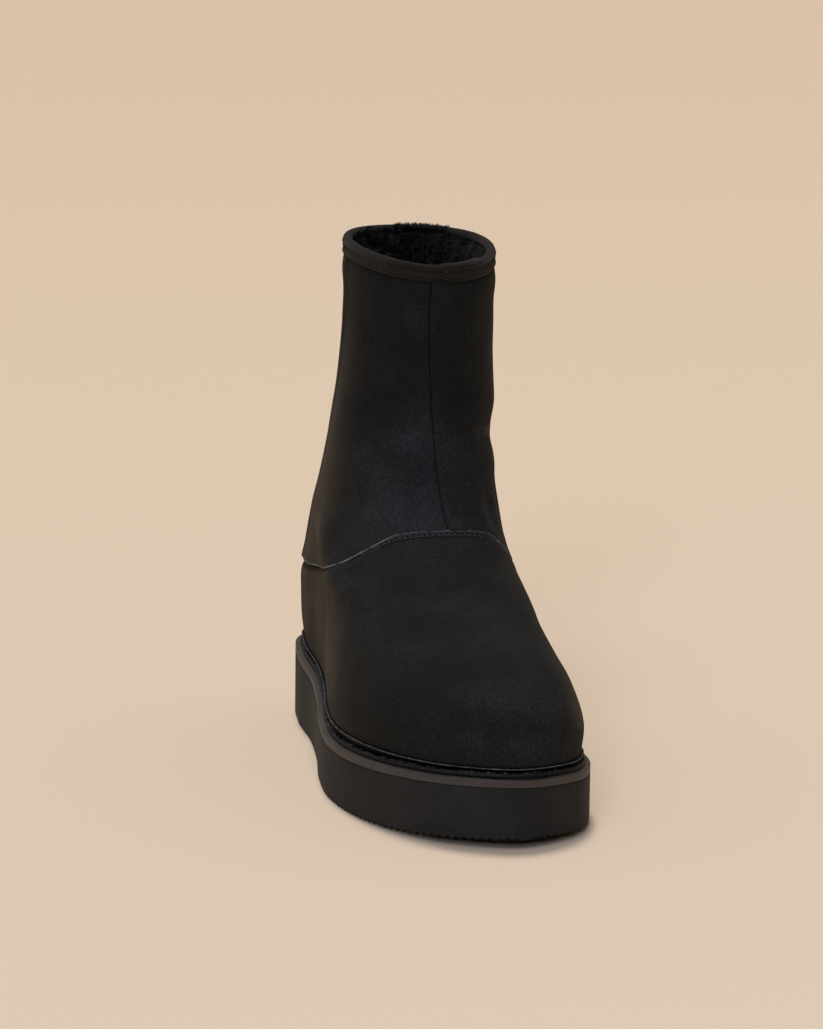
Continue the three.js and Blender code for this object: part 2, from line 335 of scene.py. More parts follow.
around, _ = even_around(480, sole_plan(0))
midsole_rows = []
for width in (0, 0.5, 0.93):
    x, y = sole_point(around, sole_plan(0), width)
    midsole_rows.append(np.stack([x, y, outsole_top(y) + 0.02], -1))
side = MIDSOLE_THICKNESS - MIDSOLE_ROUND
for drawn_in, rise in ((0.4, 0.02), (0.12, 0.1), (0, 0.4), (0, 1.2), (0, 2.0), (0, side)):
    x, y = sole_point(around, sole_plan(drawn_in))
    midsole_rows.append(np.stack([x, y, outsole_top(y) + rise], -1))
for turn in np.radians(np.linspace(0, 90, 5)):
    x, y = sole_point(around, sole_plan(MIDSOLE_ROUND * (1 - math.cos(turn))))
    midsole_rows.append(np.stack([x, y, midsole_top(y) - MIDSOLE_ROUND * (1 - math.sin(turn))], -1))
for width in (0.93, 0.5, 0):
    x, y = sole_point(around, sole_plan(0), width)
    midsole_rows.append(np.stack([x, y, midsole_top(y)], -1))
midsole = laid_grid("midsole_layer", midsole_rows)
fitted(midsole, taupe_foam, "midsole", replaces=True)

# ---------------- welt
# A flat black strip sewn round on the midsole. Its coarse waxed thread lies in short slanting
# stitches, half sunk into the strip.

WELT_THICKNESS = 1.8
WELT_SETBACK = 2.3
SOLE_LEDGE = 4.6  # from the sole's edge to the foot of the upper
WALL = 7.0  # hide and wool together
STITCH_PITCH = 2.3
STITCH_LENGTH = 2.6
STITCH_WIDTH = 0.62
STITCH_SLANT = 20

# Bonded leather strip: black, a little worn and dusty on its rough top.
black_strip, tree, surface = new_material("rough_black_strip", Roughness=0.62, Specular_IOR_Level=0.4)
place = add_node(tree, "TexCoord").outputs["Object"]
fleck = add_node(tree, "TexNoise", inputs={"Vector": place, "Scale": 900, "Detail": 4, "Roughness": 0.75})
shades = [(0.5, "#050505"), (0.8, "#2a2928")]
add_node(tree, "ValToRGB", {"ramp": shades}, {"Fac": fleck}, surface["Base Color"])
skin = {"Height": fleck, "Strength": 0.9, "Distance": 0.0004}
add_node(tree, "Bump", inputs=skin, into=surface["Normal"])


def welt_top(y):
    return midsole_top(y) + GAP + WELT_THICKNESS


# The strip's section: drawn in from the sole's edge, risen over the midsole, and how rough it is.
full = WELT_THICKNESS + GAP
around, _ = even_around(1100, sole_plan(0))
welt_rows = []
for drawn_in, rise, rough in (
    (WELT_SETBACK + 0.4, 0.0, 0),
    (WELT_SETBACK, 0.4, 0.15),
    (WELT_SETBACK, 1.3, 0.35),
    (WELT_SETBACK + 0.3, full - 0.2, 0.4),
    (WELT_SETBACK + 0.7, full, 0.4),
    (WELT_SETBACK + 1.1, full - 0.2, 0.4),
    (WELT_SETBACK + 1.5, full - 0.4, 0.4),
    (WELT_SETBACK + 1.9, full - 0.5, 0.3),
    (SOLE_LEDGE, full - 0.2, 0),
    (SOLE_LEDGE + WALL, full - 0.1, 0),
    (SOLE_LEDGE + WALL, 0.0, 0),
    (WELT_SETBACK + 0.4, 0.0, 0),
):
    x, y = sole_point(around, sole_plan(drawn_in))
    frayed = [noise.noise(Vector((a, b, drawn_in)) / 0.9) for a, b in zip(x, y)]
    welt_rows.append(np.stack([x, y, midsole_top(y) + 0.02 + rise + rough * np.array(frayed)], -1))
welt = laid_grid("welt_strip", welt_rows)
fitted(welt, black_strip, "welt", replaces=True)

# Waxed linen thread: black with a soft shine on the crowns of its plies, and painted highlights as
# mid-grey flecks in its colour.
waxed_thread, tree, surface = new_material("waxed_black_thread", Roughness=0.42, Specular_IOR_Level=0.6)
place = add_node(tree, "TexCoord").outputs["Object"]
tone = add_node(tree, "TexNoise", inputs={"Vector": place, "Scale": 260, "Detail": 3})
# Painted highlight: the mid-grey end of the ramp stands in for glints on the plies.
shades = [(0.42, "#101011"), (0.66, "#5a5b5e")]
add_node(tree, "ValToRGB", {"ramp": shades}, {"Fac": tone}, surface["Base Color"])
ply = add_node(tree, "TexNoise", inputs={"Vector": place, "Scale": 2600, "Detail": 2})
skin = {"Height": ply, "Strength": 0.7, "Distance": 0.0002}
add_node(tree, "Bump", inputs=skin, into=surface["Normal"])


def joined_mesh(name, points, faces):
    """One smooth object from millimetre points and faces."""
    mesh = bpy.data.meshes.new(name)
    mesh.from_pydata((settled(points) * MM).tolist(), [], faces)
    piece = bpy.data.objects.new(name, mesh)
    bpy.context.scene.collection.objects.link(piece)
    bpy.ops.object.select_all(action="DESELECT")
    bpy.context.view_layer.objects.active = piece
    piece.select_set(True)
    bpy.ops.object.shade_smooth()
    return piece


def laid_stitches(name, stitches, sides=8, loops=False):
    """Many stitches as one mesh: a bent capsule, or a loop, copied to each middle, axes and sizes."""
    bpy.ops.object.select_all(action="DESELECT")
    if loops:
        bpy.ops.mesh.primitive_torus_add(
            major_segments=14, minor_segments=sides, major_radius=0.34, minor_radius=0.14
        )
    else:
        bpy.ops.mesh.primitive_uv_sphere_add(segments=sides, ring_count=6, radius=0.5)
        bpy.context.object.data.transform(Matrix.Rotation(math.pi / 2, 4, "Y"))
    form = bpy.context.object
    shape = np.array([vertex.co for vertex in form.data.vertices])
    form_faces = [tuple(face.vertices) for face in form.data.polygons]
    bpy.data.objects.remove(form)
    shape[:, 2] -= shape[:, 0] ** 2
    points, faces = [], []
    for middle, along, across, outward, (length, width) in stitches:
        base = len(points) * len(shape)
        size = shape * (length, width, width)
        points.append(middle + size[:, :1] * along + size[:, 1:2] * across + size[:, 2:] * outward)
        faces += [tuple(base + k for k in face) for face in form_faces]
    return joined_mesh(name, np.concatenate(points), faces)


def turned_along(line, k, outward, degrees):
    """The way of a closed line at its point k, turned by an angle, and the way across the line."""
    ahead = line[(k + 1) % len(line)] - line[k - 1]
    ahead /= np.linalg.norm(ahead)
    across = np.cross(outward, ahead)
    turn = math.radians(degrees)
    return ahead * math.cos(turn) + across * math.sin(turn), across


UP = np.array([0.0, 0, 1])
plan = sole_plan((WELT_SETBACK + SOLE_LEDGE) / 2 + 0.2)
count = round(even_around(8, plan)[1] / STITCH_PITCH)
x, y = sole_point(even_around(count, plan)[0], plan)
line = np.stack([x, y, welt_top(y)], -1)[:-1]
welt_stitches = []
for k in range(count):
    along, across = turned_along(line, k, UP, STITCH_SLANT + random.uniform(-35, 35))
    middle = line[k] + UP * random.uniform(-0.4, 0.25) + across * random.uniform(-0.6, 0.5)
    size = (STITCH_LENGTH * random.uniform(0.85, 1.06), STITCH_WIDTH)
    welt_stitches.append((middle, along, np.cross(UP, along), UP, size))
thread_on_welt = laid_stitches("welt_stitches", welt_stitches)
fitted(thread_on_welt, waxed_thread, "welt")

# ---------------- upper
# Five panels of sheepskin, suede side out: vamp, heel counter, two front shaft panels and a back
# one. Side and front seams are closed, with both edges turned in, so each is a slit between rolls.

# The last, a row for each section from the foot of the upper to the collar: the point at the back
# (y and rise), the point in front, the widths behind and in front, how round it is, and its shift.
LAST = [
    (137.4, 0, -137.4, 0, 1, 1, 0, 0),
    (140.5, 12, -141, 13, 1.02, 1.03, 0, -0.6),
    (141, 25, -137, 27, 0.99, 0.97, 0.03, -1.6),
    (140.5, 37, -123, 37, 0.95, 0.9, 0.08, -1.9),
    (139, 48, -103, 45, 0.93, 0.89, 0.18, -1.4),
    (136.5, 59, -76, 54.5, 0.93, 0.94, 0.33, -0.3),
    (132.5, 71, -44, 65, 0.93, 0.975, 0.55, 1.4),
    (128, 87, -22, 79.5, 0.92, 0.95, 0.78, 5),
    (122, 113, -3, 98, 0.88, 0.91, 0.93, 8.5),
    (116.5, 152, 12, 128, 0.855, 0.865, 1, 12.6),
    (111, 198, 13, 198, 0.83, 0.83, 1, 12.6),
]
RIM = len(LAST) - 1
HIDE = 1.3
LAST_SEAT = 1.0  # the rows are measured from this height above the welt
COLLAR_HALF_WIDTH = 40
# The rim is raised at the sides and dips in front, by powers of the share from back to front.
COLLAR_WAVE = (1.1, 6.7, -9.3)
SEWN_PLAN = sole_plan(SOLE_LEDGE)


def on_last(around, row):
    """A point on the outside of the upper. around is as on the sole; row is a row of LAST."""
    around, row = np.broadcast_arrays(np.asarray(around, float), np.asarray(row, float))
    section = np.moveaxis(through_points(LAST, row), -1, 0)
    back_y, back_rise, front_y, front_rise, heel, ball, roundness, shift = section
    s = (1 - np.cos(2 * np.pi * around)) / 2
    y = back_y + (front_y - back_y) * s
    seat_back, seat_front = welt_top(back_y) + LAST_SEAT, welt_top(front_y) + LAST_SEAT
    chord = seat_back + (seat_front - seat_back) * s
    bend = np.maximum(0, 1 - row / 4) ** 2
    waved = np.clip((row - RIM + 2) / 2, 0, 1)
    waved = eased(waved) * (COLLAR_WAVE[0] + s * (COLLAR_WAVE[1] + s * COLLAR_WAVE[2]))
    z = GAP + chord + back_rise * (1 - s) + front_rise * s + bend * (welt_top(y) - chord) + waved
    _, _, share, centre, half = SEWN_PLAN
    forward = eased(np.clip((s - 0.25) / 0.45, 0, 1))
    ellipse = COLLAR_HALF_WIDTH * 2 * np.sqrt(np.clip(s * (1 - s), 0, 1))
    width = np.interp(s, share, half) * (1 - roundness) + ellipse * roundness
    width = width * (heel + (ball - heel) * forward) * np.where(around % 1 < 0.5, -1, 1)
    return np.stack([width + np.interp(s, share, centre) * (1 - roundness) + shift, y, z], -1)


def way_out(around, row):
    """The outward direction at a point of the last."""
    step = 0.004
    along = on_last(around + step, row) - on_last(around - step, row)
    rise = on_last(around, np.minimum(row + 0.02, RIM)) - on_last(around, np.maximum(row - 0.02, 0))
    outward = np.cross(along, rise)
    return outward / np.linalg.norm(outward, axis=-1)[..., None]


# The seam between shaft and foot, as places round the boot from the middle of the front, each with
# the row of LAST that the seam lies on there.
ANKLE_SEAM = [(0, 7.25), (0.045, 7.19), (0.077, 7.06), (0.095, 6.92), (0.112, 6.72), (0.13, 6.47)]
ANKLE_SEAM += [(0.149, 6.17), (0.167, 5.91), (0.2, 5.48), (0.255, 4.73), (0.31, 3.92), (0.36, 3.28)]
ANKLE_SEAM += [(0.41, 3.02), (0.5, 2.95)]
FRONT_MIDDLE = 0.497
ankle_line = through_points(ANKLE_SEAM, np.linspace(0, len(ANKLE_SEAM) - 1, 600))


def ankle_seam(around):
    off = np.abs((np.asarray(around) - FRONT_MIDDLE + 0.5) % 1 - 0.5)
    return np.interp(off, ankle_line[:, 0], ankle_line[:, 1])


# The front seam, and the seam on each side behind the ankle bone: rows with their place around.
FRONT_SEAM = [(7.2, 0.502), (8.2, 0.49), (9, 0.476), (9.4, 0.469)]
FRONT_SEAM += [(9.68, 0.4665), (9.74, 0.4695), (10, 0.4705)]
SHAFT_SIDE_SEAM = [(3, 0.08), (5, 0.1), (7, 0.14), (8, 0.165), (9, 0.2), (9.5, 0.228), (10, 0.236)]
FOOT_SIDE_SEAM = 0.085


def front_seam(row):
    return np.interp(row, *zip(*FRONT_SEAM))


def shaft_side_seam(row):
    return np.interp(row, *zip(*SHAFT_SIDE_SEAM))


LAP = 3.0  # how far the foot's panels reach up under the shaft
TUCK = 1.5  # how deep they lie there


# How each kind of edge lies above or below the last, by the distance from it.
def sunk(run, depth, radius):
    """An edge turned in round a roll."""
    return -depth * (1 - np.sqrt(1 - (1 - np.clip(run / radius, 0, 1)) ** 2))


def hump(run, middle, width, height):
    return height * np.exp(-(((run - middle) / width) ** 2))


def closed_edge(run):
    return sunk(run, 2.6, 0.9) - hump(run, 0, 2.5, 0.2) + hump(run, 6, 4.5, 0.15)


def proud_edge(run):
    return sunk(run, 2.4, 0.9) + hump(run, 1.8, 4.5, 0.85)


def lapped_edge(run):
    return 0.3 * sunk(run, 1.0, 0.8) + hump(run, 0, 6, 0.4)


def tucked_edge(run):
    """Held in under the shaft for the length of the lap."""
    under = np.clip((run - LAP) / 3.0, 0, 1)
    return -TUCK * (1 - eased(under)) + hump(run, LAP + 6.5, 4.0, 0.3)


def plain_edge(run):
    return 0 * run


def taped_edge(run):
    """Pinched by the tape's stitching, and swelling out below it."""
    return hump(run, 14, 6.5, 0.9) - hump(run, 6.4, 1.7, 0.7)


# Soft folds where the boot has been bent, as lines between two places on the skin. depth is of
# the trough, and ridges stand on both sides of it.
CREASES = [
    {"start": (46, 46, 149), "end": (30, 17, 152), "depth": 1.9, "width": 7.0},
    {"start": (43, 37, 150), "end": (30, 16, 153), "depth": 0.5, "width": 1.6},
    {"start": (41, 30, 132), "end": (39, 8, 108), "depth": 1.1, "width": 3.4},
    {"start": (32, 8, 128), "end": (31, -5, 110), "depth": 0.9, "width": 3.0},
    {"start": (-37, -3, 101), "end": (-27, -9, 98), "depth": 0.7, "width": 2.6},
    {"start": (-30, 62, 150), "end": (-22, 22, 158), "depth": 0.5, "width": 7.0},
    {"start": (-35, 80, 105), "end": (-31, 24, 122), "depth": 0.6, "width": 8.0},
    {"start": (42, 104, 108), "end": (43, 60, 122), "depth": 0.9, "width": 6.0},
    {"start": (-30, -45, 88), "end": (22, -52, 90), "depth": 0.5, "width": 9.0},
    {"start": (4, 122, 128), "end": (24, 118, 133), "depth": 0.6, "width": 6.0},
]


def crease_depth(points):
    total = np.zeros(points.shape[:-1])
    for crease in CREASES:
        start, end = np.array(crease["start"], float), np.array(crease["end"], float)
        run = end - start
        share = ((points - start) @ run) / (run @ run)
        away = points - (start + np.clip(share, 0, 1)[..., None] * run)
        distance = np.linalg.norm(away, axis=-1)
        fade = np.clip(1.25 * np.sin(np.pi * np.clip(share * 0.8 + 0.1, 0, 1)), 0, 1)
        total -= fade * hump(distance, 0, crease["width"], crease["depth"])
        total += fade * hump(distance, 2.1 * crease["width"], crease["width"], 0.3 * crease["depth"])
    return total


def along_runs(points, axis):
    """The distance run along a grid of points, from its first row or column."""
    steps = np.linalg.norm(np.diff(points, axis=axis), axis=-1)
    start = np.zeros_like(np.take(steps, [0], axis))
    return np.concatenate([start, np.cumsum(steps, axis)], axis)


EDGE_STEPS = np.array([0, 0.12, 0.28, 0.5, 0.8, 1.2, 1.8, 2.7, 4.0])


def spaced(run, count):
    """Distances from 0 to run, closest together at both ends."""
    middle = np.linspace(EDGE_STEPS[-1], run - EDGE_STEPS[-1], count)
    return np.r_[EDGE_STEPS[:-1], middle, run - EDGE_STEPS[-2::-1]]


def sheepskin_panel(name, lines, edges, columns, rows):
    """One panel between its left, right, bottom and top lines, with each edge shaped in its own way."""
    left, right, bottom, top = lines

    def placed(a, b):
        row = 0 * a + 5.0
        for _ in range(12):
            around = left(row) + (right(row) - left(row)) * a
            row = bottom(around) + (top(around) - bottom(around)) * b
        return around, row

    even = np.linspace(0, 1, 200)
    b, a = np.meshgrid(even, even, indexing="ij")
    rough = on_last(*placed(a, b))
    across, upward = along_runs(rough, 1), along_runs(rough, 0)
    column_share = np.array([np.interp(spaced(run[-1], columns), run, even) for run in across])
    a_rows, b_rows = [], []
    for shares in column_share.T:
        rise = upward[:, round(shares[100] * 199)]
        b_rows.append(np.interp(spaced(rise[-1], rows), rise, even))
        a_rows.append(np.interp(b_rows[-1], even, shares))
    around, row = placed(np.array(a_rows).T, np.array(b_rows).T)
    flat = on_last(around, row)
    across, upward = along_runs(flat, 1), along_runs(flat, 0)
    lift = edges[0](across) + edges[1](across[:, -1:] - across)
    lift = lift + edges[2](upward) + edges[3](upward[-1:] - upward)
    waves = []
    for p in flat.reshape(-1, 3):
        small = noise.noise(Vector(p) / 15 + Vector((9, 3, 5)))
        waves.append(noise.noise(Vector(p) / 34) + 0.5 * small)
    lift = np.maximum(lift, -2.0) + crease_depth(flat) + 0.35 * np.reshape(waves, lift.shape)
    piece = laid_grid(name, flat + way_out(around, row) * lift[..., None])
    thickness = piece.modifiers.new("hide_thickness", "SOLIDIFY")
    thickness.thickness = HIDE * MM
    thickness.offset = -1
    bpy.ops.object.modifier_apply(modifier=thickness.name)
    bpy.ops.object.shade_smooth()
    return piece


# Napped sheepskin suede, dyed black: matt and soft, with a short nap that is brushed a little lighter
# and bluer at random, painted lighter over toe and instep as painted light, and glows faintly where it is
# seen edge on.
black_suede, tree, surface = new_material(
    "napped_black_suede",
    Roughness=0.95,
    Specular_IOR_Level=0.1,
    Sheen_Weight=0.09,
    Sheen_Roughness=0.35,
    # The sheen is tinted warm beige, a painted reflection of the backdrop along the edges.
    Sheen_Tint=linear("#e2c3a0"),
)
# Painted light: patches painted lighter on the toe front and the instep, standing in for light that
# falls there, the instep's nap also brushed lighter: in metres, full within near of the centre and gone by
# far.
PAINTED_LIGHT_SPOTS = [
    {"centre": (0.006, -0.158, 0.044), "near": 0.016, "far": 0.064, "lift": 0.12},
    {"centre": (0.002, -0.001, 0.132), "near": 0.02, "far": 0.05, "lift": 0.12},
]
place = add_node(tree, "TexCoord").outputs["Object"]
brushed = add_node(tree, "TexNoise", inputs={"Vector": place, "Scale": 38, "Detail": 5, "Roughness": 0.62})
nap = add_node(tree, "TexNoise", inputs={"Vector": place, "Scale": 1000, "Detail": 4, "Roughness": 0.75})
mix = {0: brushed, 1: 0.55, 2: nap}
both = add_node(tree, "Math", {"operation": "MULTIPLY_ADD"}, mix)
nap_and_painted_light = add_node(tree, "Math", {"operation": "MULTIPLY"}, {0: both, 1: 0.8})
# Each spot adds painted light to the suede's colour toward its centre.
for spot in PAINTED_LIGHT_SPOTS:
    away = add_node(tree, "VectorMath", {"operation": "DISTANCE"}, {0: place, 1: spot["centre"]})
    fall = {"From Min": spot["near"], "From Max": spot["far"], "To Min": spot["lift"], "To Max": 0}
    fall["Value"] = away.outputs["Value"]
    painted_light = add_node(tree, "MapRange", {"interpolation_type": "SMOOTHSTEP"}, fall)
    nap_and_painted_light = add_node(tree, "Math", {"operation": "ADD"}, {0: nap_and_painted_light, 1: painted_light})
shades = [(0.48, "#151716"), (0.61, "#1b1d1d"), (0.67, "#1e2021"), (0.8, "#2b2d30"), (1.0, "#404349")]
add_node(tree, "ValToRGB", {"ramp": shades}, {"Fac": nap_and_painted_light}, surface["Base Color"])
fine = add_node(tree, "TexNoise", inputs={"Vector": place, "Scale": 1300, "Detail": 3, "Roughness": 0.8})
coarse = add_node(tree, "Bump", inputs={"Height": nap, "Strength": 0.4, "Distance": 0.0004})
skin = {"Height": fine, "Strength": 0.6, "Distance": 0.0003, "Normal": coarse}
add_node(tree, "Bump", inputs=skin, into=surface["Normal"])

LAP_ROWS = 0.2  # the lap, in rows of LAST


def foot_bottom(around):
    return 0 * around


def foot_top(around):
    return ankle_seam(around) + LAP_ROWS


def shaft_top(around):
    return RIM + 0 * around


foot_edges = closed_edge, closed_edge, plain_edge, tucked_edge
shaft_heights = ankle_seam, shaft_top
vamp = sheepskin_panel(
    "vamp",
    (lambda row: FOOT_SIDE_SEAM, lambda row: 1 - FOOT_SIDE_SEAM, foot_bottom, foot_top),
    foot_edges,
    columns=230,
    rows=80,
)
counter = sheepskin_panel(
    "heel_counter",
    (lambda row: -FOOT_SIDE_SEAM, lambda row: FOOT_SIDE_SEAM, foot_bottom, foot_top),
    foot_edges,
    columns=80,
    rows=50,
)
shaft_lateral = sheepskin_panel(
    "shaft_front_lateral",
    (shaft_side_seam, front_seam, *shaft_heights),
    (proud_edge, closed_edge, lapped_edge, taped_edge),
    columns=75,
    rows=100,
)
shaft_medial = sheepskin_panel(
    "shaft_front_medial",
    (front_seam, lambda row: 1 - shaft_side_seam(row), *shaft_heights),
    (proud_edge, proud_edge, lapped_edge, taped_edge),
    columns=75,
    rows=100,
)
shaft_back = sheepskin_panel(
    "shaft_back",
    (lambda row: -shaft_side_seam(row), shaft_side_seam, *shaft_heights),
    (closed_edge, closed_edge, lapped_edge, taped_edge),
    columns=70,
    rows=100,
)
for panel in (vamp, counter, shaft_lateral, shaft_medial, shaft_back):
    fitted(panel, black_suede, "upper", replaces=panel is vamp)

# ---------------- ankle seam
# The shaft's lower edge is lapped over the foot and left raw, so its grey hide core shows as a
# thin line. Below it in front, in the groove, runs a coarse chain stitch in black thread.

RAW_EDGE_RADIUS = 0.52
CHAIN_PITCH = 2.5
CHAIN_LOOP = (3.3, 2.8)
CHAIN_MIDDLE, CHAIN_REACH = 0.477, 0.085  # the loops show this far round, and sink away past it

# Spun black thread, dry and without wax.
dull_thread, tree, surface = new_material("dull_black_thread", Roughness=0.7, Specular_IOR_Level=0.3)
surface["Base Color"].default_value = linear("#232527")

# Cut hide edge: undyed blue-grey, dry and a little ragged. On the rand's lip the same grey is a painted
# highlight.
hide_edge_and_lip_highlight, tree, surface = new_material("raw_hide_edge_and_painted_highlight", Roughness=0.85, Specular_IOR_Level=0.3)
place = add_node(tree, "TexCoord").outputs["Object"]
tone = add_node(tree, "TexNoise", inputs={"Vector": place, "Scale": 220, "Detail": 4, "Roughness": 0.7})
shades = [(0.35, "#2a2e31"), (0.65, "#72787c")]
add_node(tree, "ValToRGB", {"ramp": shades}, {"Fac": tone}, surface["Base Color"])


def swept_tube(name, centre, outward, radii, sides=8):
    """A tube round a closed line of points, its radius given at each."""
    ahead = np.roll(centre, -1, 0) - np.roll(centre, 1, 0)
    ahead /= np.linalg.norm(ahead, axis=1)[:, None]
    across = np.cross(outward, ahead)
    turn = np.linspace(0, 2 * np.pi, sides + 1)[:, None, None]
    points = centre + (np.cos(turn) * outward - np.sin(turn) * across) * np.asarray(radii)[:, None]
    return laid_grid(name, np.concatenate([points, points[:, :1]], axis=1))


def round_line(row_at, spacing, lift):
    """Evenly spaced points on a closed line round the upper, lifted off it, and their ways out."""
    fine = np.linspace(0, 1, 4001)
    run = along_runs(on_last(fine, row_at(fine)), 0)
    count = round(run[-1] / spacing)
    around = np.interp(np.linspace(0, run[-1], count + 1)[:-1], run, fine)
    outward = way_out(around, row_at(around))
    return around, on_last(around, row_at(around)) + outward * lift, outward


def ragged(line, radius):
    return [radius * (1 + 0.4 * noise.noise(Vector(p) / 2.2)) for p in line]


# The edge is pared thinner in front.
places, line, outward = round_line(ankle_seam, 0.6, 0.0)
thinned = 1 - 0.45 * np.exp(-(((places - 0.52) / 0.13) ** 4))
edge_bead = swept_tube("ankle_raw_edge", line, outward, np.array(ragged(line, RAW_EDGE_RADIUS)) * thinned)
fitted(edge_bead, hide_edge_and_lip_highlight, "upper")

places, line, outward = round_line(lambda around: ankle_seam(around) - 0.085, CHAIN_PITCH, 0)
line = np.array([vamp.closest_point_on_mesh(Vector(p) * MM)[1] / MM for p in line])
chain = []
for k in range(len(line)):
    along, across = turned_along(line, k, outward[k], random.uniform(-14, 14))
    sink = min(1, max(0, (abs(places[k] - CHAIN_MIDDLE) - CHAIN_REACH) / 0.02))
    middle = line[k] + across * random.uniform(-0.15, 0.15)
    middle = middle + outward[k] * (random.uniform(0.2, 0.4) - 1.5 * sink)
    chain.append((middle, along, np.cross(outward[k], along), outward[k], CHAIN_LOOP))
chain_stitches = laid_stitches("ankle_chain_stitches", chain, sides=6, loops=True)
fitted(chain_stitches, dull_thread, "upper")

# ---------------- rand
# A narrow strip of polished black leather sewn round the foot of the upper. Its upper edge stands
# out as a thin lip over a dark groove down to the welt, with a painted highlight along the lip.

RAND_ROWS = 0.22  # its height, in rows of LAST
RAND_THICKNESS = 1.1

# Finished leather, polished: deep black with a soft gloss and faint creasing.
polished_leather, tree, surface = new_material(
    "polished_black_leather", Roughness=0.5, Specular_IOR_Level=0.1
)
place = add_node(tree, "TexCoord").outputs["Object"]
tone = add_node(tree, "TexNoise", inputs={"Vector": place, "Scale": 150, "Detail": 4})
shades = [(0.3, "#060606"), (0.7, "#0f0e0e")]
add_node(tree, "ValToRGB", {"ramp": shades}, {"Fac": tone}, surface["Base Color"])
skin = {"Height": tone, "Strength": 0.35, "Distance": 0.0006}
add_node(tree, "Bump", inputs=skin, into=surface["Normal"])


def rand_row(around):
    """The rand's upper edge: it stands higher along the outer side of the ball."""
    return RAND_ROWS * (1 + hump((around - 0.31 + 0.5) % 1, 0.5, 0.07, 0.4))


around = np.linspace(0, 1, 481)
rand_rows = []
for row, lift in (
    (0, -0.2),
    (0, 0.3),
    (0.5, 0.25),
    (0.66, 0.4),
    (0.74, RAND_THICKNESS),
    (0.82, RAND_THICKNESS + 0.3),
    (0.92, RAND_THICKNESS + 0.3),
    (1, RAND_THICKNESS),
    (1.04, 0.4),
    (1, -0.2),
    (0, -0.2),
):
    row = row * rand_row(around)
    rand_rows.append(on_last(around, row) + way_out(around, row) * lift)
rand = laid_grid("rand_strip", rand_rows)
fitted(rand, polished_leather, "rand", replaces=True)

# Painted highlight: a thin grey tube along the rand's upper edge stands in for the light the lip catches.
_, line, outward = round_line(lambda around: rand_row(around) * 0.97, 0.8, RAND_THICKNESS + 0.1)
rand_lip_highlight = swept_tube("rand_lip_painted_highlight", line, outward, ragged(line, 0.2), sides=6)
fitted(rand_lip_highlight, hide_edge_and_lip_highlight, "rand")

# ---------------- lining
# The other side of the same sheepskin: black fleece, sheared short, all over the inside. It is a
# lumpy bed of curls, with locks standing out of it.

RIM_WALL = 2.2
CURL_SIZE, CURL_HEIGHT = 5.5, 2.6
BED_SINK = 1.2  # how far the bed of curls lies inside the wool's full depth
COLLAR_LOCKS, RIM_LOCKS, SHAFT_LOCKS = 1380, 380, 950

# Dyed shearling: black to brown-grey where the tips of the curls catch the light.
black_fleece, tree, surface = new_material(
    "sheared_black_fleece",
    Roughness=0.75,
    Specular_IOR_Level=0.25,
    Sheen_Weight=0.1,
    Sheen_Roughness=0.5,
    Sheen_Tint=linear("#b0aaa2"),
)
place = add_node(tree, "TexCoord").outputs["Object"]
tone = add_node(tree, "TexNoise", inputs={"Vector": place, "Scale": 130, "Detail": 4, "Roughness": 0.65})
shades = [(0.5, "#030303"), (0.76, "#1e1c1b")]
add_node(tree, "ValToRGB", {"ramp": shades}, {"Fac": tone}, surface["Base Color"])
curl = add_node(tree, "TexNoise", inputs={"Vector": place, "Scale": 420, "Detail": 4, "Roughness": 0.75})
skin = {"Height": curl, "Strength": 1, "Distance": 0.0015}
add_node(tree, "Bump", inputs=skin, into=surface["Normal"])


def curls(points):
    """Lumps of fleece as heights at points."""
    lumps = []
    for p in points.reshape(-1, 3):
        at = Vector(p) / CURL_SIZE
        lumps.append(abs(noise.noise(at)) + 0.5 * abs(noise.noise(at * 2.1 + Vector((4, 7, 1)))))
    return CURL_HEIGHT * np.reshape(lumps, points.shape[:-1])


def wall_at(row):
    """The thickness of hide and fleece: less where the tape squeezes the rim."""
    return RIM_WALL + (WALL - RIM_WALL) * np.clip((RIM - row) / 0.33, 0, 1)


around = np.linspace(0, 1, 241)
lining_rows = []
for row in np.linspace(0, RIM, 26):
    row = np.full_like(around, row)
    lining_rows.append(on_last(around, row) - way_out(around, row) * 1.6)
for row in RIM * (1 - np.linspace(0, 1, 120) ** 1.1):
    row = np.full_like(around, row)
    base, outward = on_last(around, row), way_out(around, row)
    lift = curls(base) * np.clip((RIM - row) / 0.1, 0, 1)
    lining_rows.append(base - outward * (wall_at(row) - BED_SINK + lift)[:, None])
lining_rows.append(lining_rows[0])
lining = laid_grid("fleece_lining", lining_rows)
fitted(lining, black_fleece, "upper")


